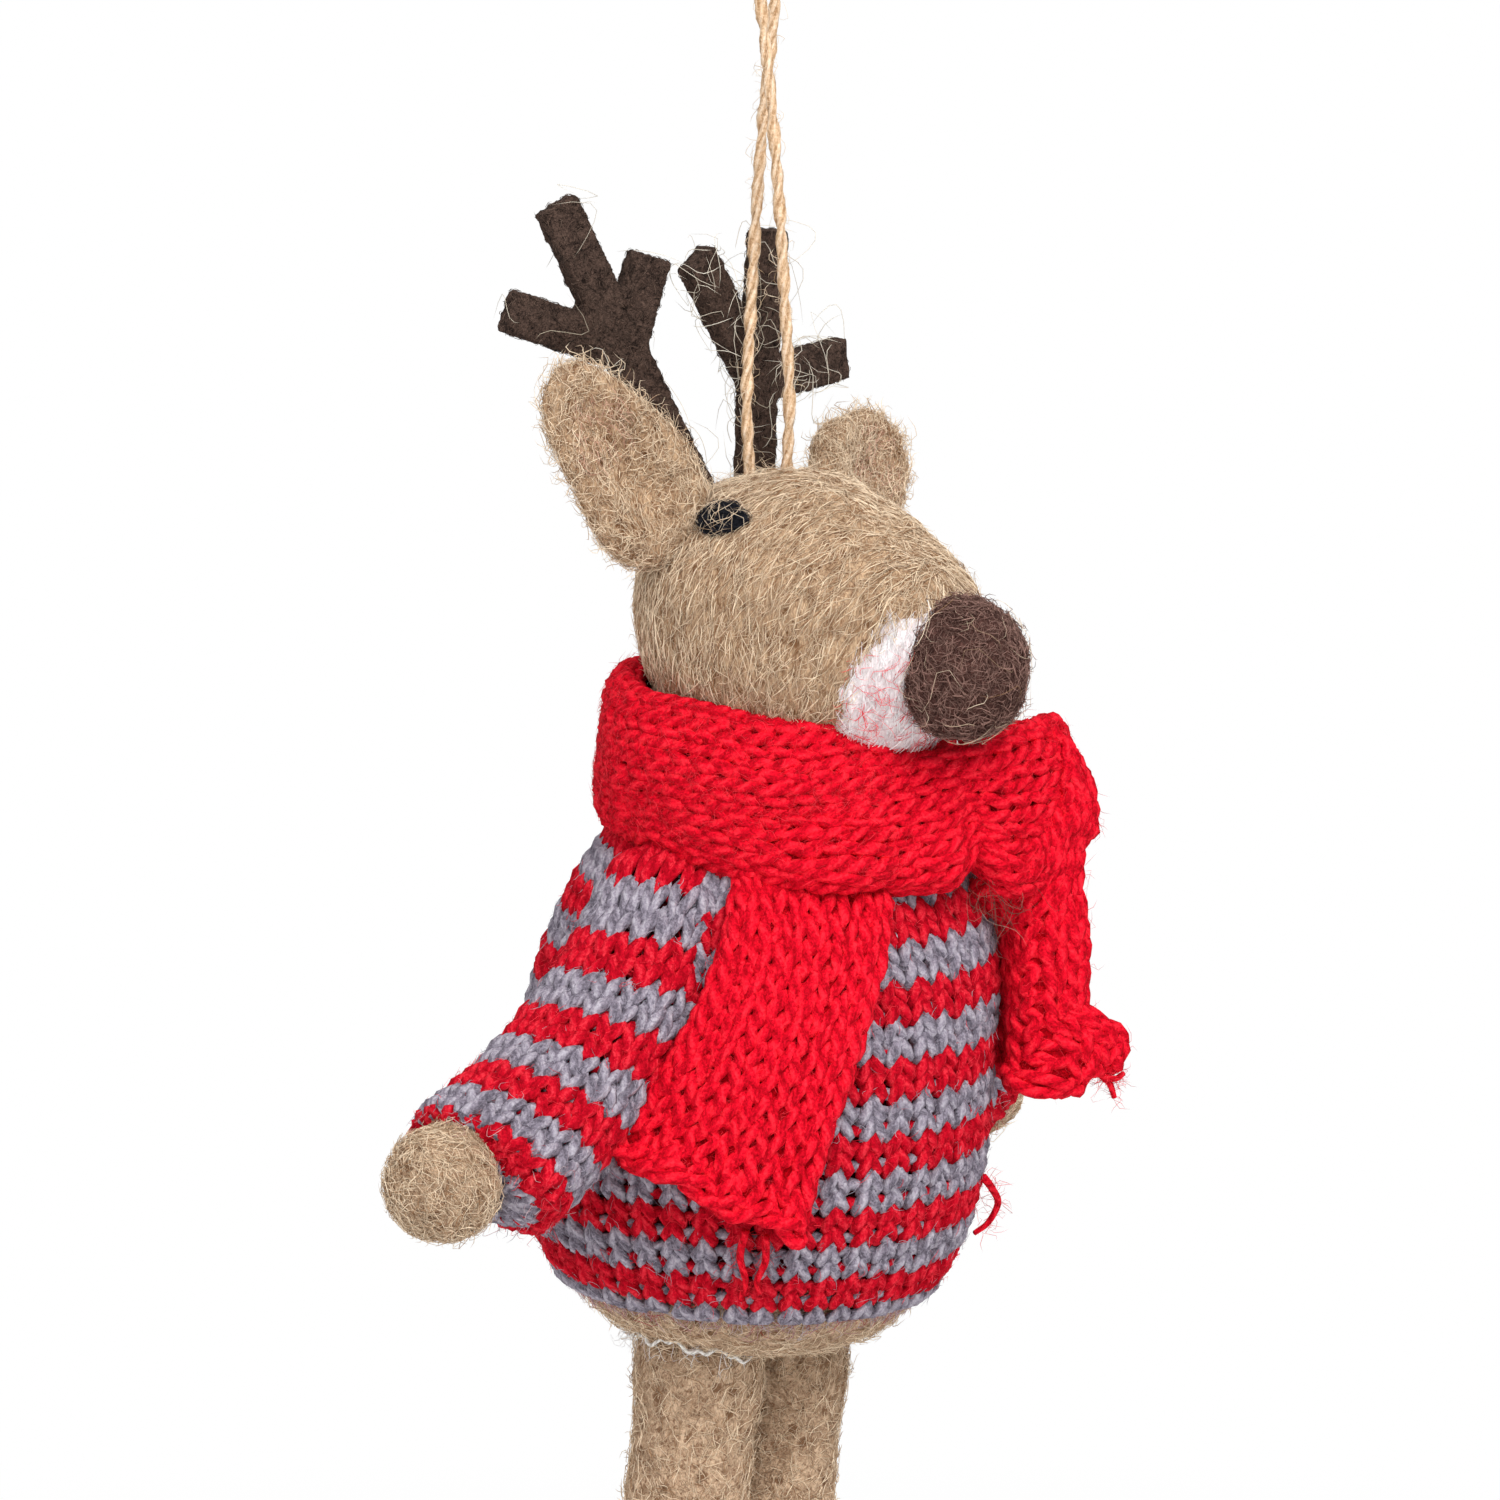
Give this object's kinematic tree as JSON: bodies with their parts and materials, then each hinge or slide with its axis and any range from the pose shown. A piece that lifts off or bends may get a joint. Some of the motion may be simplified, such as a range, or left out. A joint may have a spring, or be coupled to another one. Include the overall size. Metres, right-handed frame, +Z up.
{
  "type": "felted reindeer ornament",
  "caption": "Hanging reindeer ornament of needle-felted wool with felt antlers, a striped knitted jumper, a red knitted scarf and a jute twine loop.",
  "frame": {"origin": "inside top of the twine loop, where a hook or twig carries the ornament", "axes": "+Z up along the hanging line, the reindeer faces -Y and its left hand is on +X"},
  "size_m": [0.1037, 0.0603, 0.1957],
  "materials": {
    "jute_twine": "two-ply twisted natural jute, hairy and matt",
    "tan_felt": "needle-felted tan wool with loose fibres",
    "white_felt": "needle-felted white wool",
    "brown_felt": "needle-felted dark brown wool",
    "black_felt": "needle-felted black wool",
    "antler_felt": "die-cut thick pressed felt",
    "red_knit": "fine stocking-stitch knit in red acrylic yarn",
    "striped_knit": "stocking-stitch knit in red and grey yarn, stripes of two rows",
    "white_thread": "white sewing thread"
  },
  "bodies": {
    "loop": {"hanging_loop": "jute_twine"},
    "figure": {"twine_knot": "jute_twine", "head": "tan_felt", "nose": "brown_felt", "muzzle_patch": "white_felt", "eye_right": "black_felt", "eye_left": "black_felt", "ear_right": "tan_felt", "ear_left": "tan_felt", "antler_right": "antler_felt", "antler_left": "antler_felt", "torso": "tan_felt", "jumper_body": "striped_knit", "hip_stitch_right": "white_thread", "hip_stitch_left": "white_thread", "scarf_wrap": "red_knit", "scarf_cross": "red_knit"},
    "right_arm": {"sleeve_right": "striped_knit", "arm_right": "tan_felt"},
    "left_arm": {"sleeve_left": "striped_knit", "arm_left": "tan_felt"},
    "right_leg": {"leg_right": "tan_felt"},
    "left_leg": {"leg_left": "tan_felt"},
    "right_scarf_end": {"scarf_tail_right": "red_knit"},
    "left_scarf_end": {"scarf_tail_left": "red_knit"}
  },
  "joints": [
    {"name": "swivel", "type": "hinge", "parent": "loop", "child": "figure", "pos_m": [0, 0, -0.058], "axis": [0, 0, 1], "range_deg": [-180, 180], "stiffness_Nm_per_rad": 0.0002},
    {"name": "right_shoulder", "type": "hinge", "parent": "figure", "child": "right_arm", "pos_m": [-0.01597, 0.00069, -0.10298], "axis": [0, 1, 0], "range_deg": [0, 40], "stiffness_Nm_per_rad": 0.002},
    {"name": "left_shoulder", "type": "hinge", "parent": "figure", "child": "left_arm", "pos_m": [0.01597, 0.00069, -0.10298], "axis": [0, -1, 0], "range_deg": [0, 40], "stiffness_Nm_per_rad": 0.002},
    {"name": "right_hip", "type": "hinge", "parent": "figure", "child": "right_leg", "pos_m": [-0.0071, 0.00365, -0.1544], "axis": [1, 0, 0], "range_deg": [-25, 25]},
    {"name": "left_hip", "type": "hinge", "parent": "figure", "child": "left_leg", "pos_m": [0.0071, 0.00365, -0.1544], "axis": [1, 0, 0], "range_deg": [-25, 25]},
    {"name": "right_scarf_lift", "type": "hinge", "parent": "figure", "child": "right_scarf_end", "pos_m": [-0.01193, -0.01572, -0.10074], "axis": [-0.8068, 0.5899, 0.034], "range_deg": [0, 50]},
    {"name": "left_scarf_lift", "type": "hinge", "parent": "figure", "child": "left_scarf_end", "pos_m": [0.0165, -0.0252, -0.09995], "axis": [-1, 0, 0], "range_deg": [-2, 50]}
  ]
}
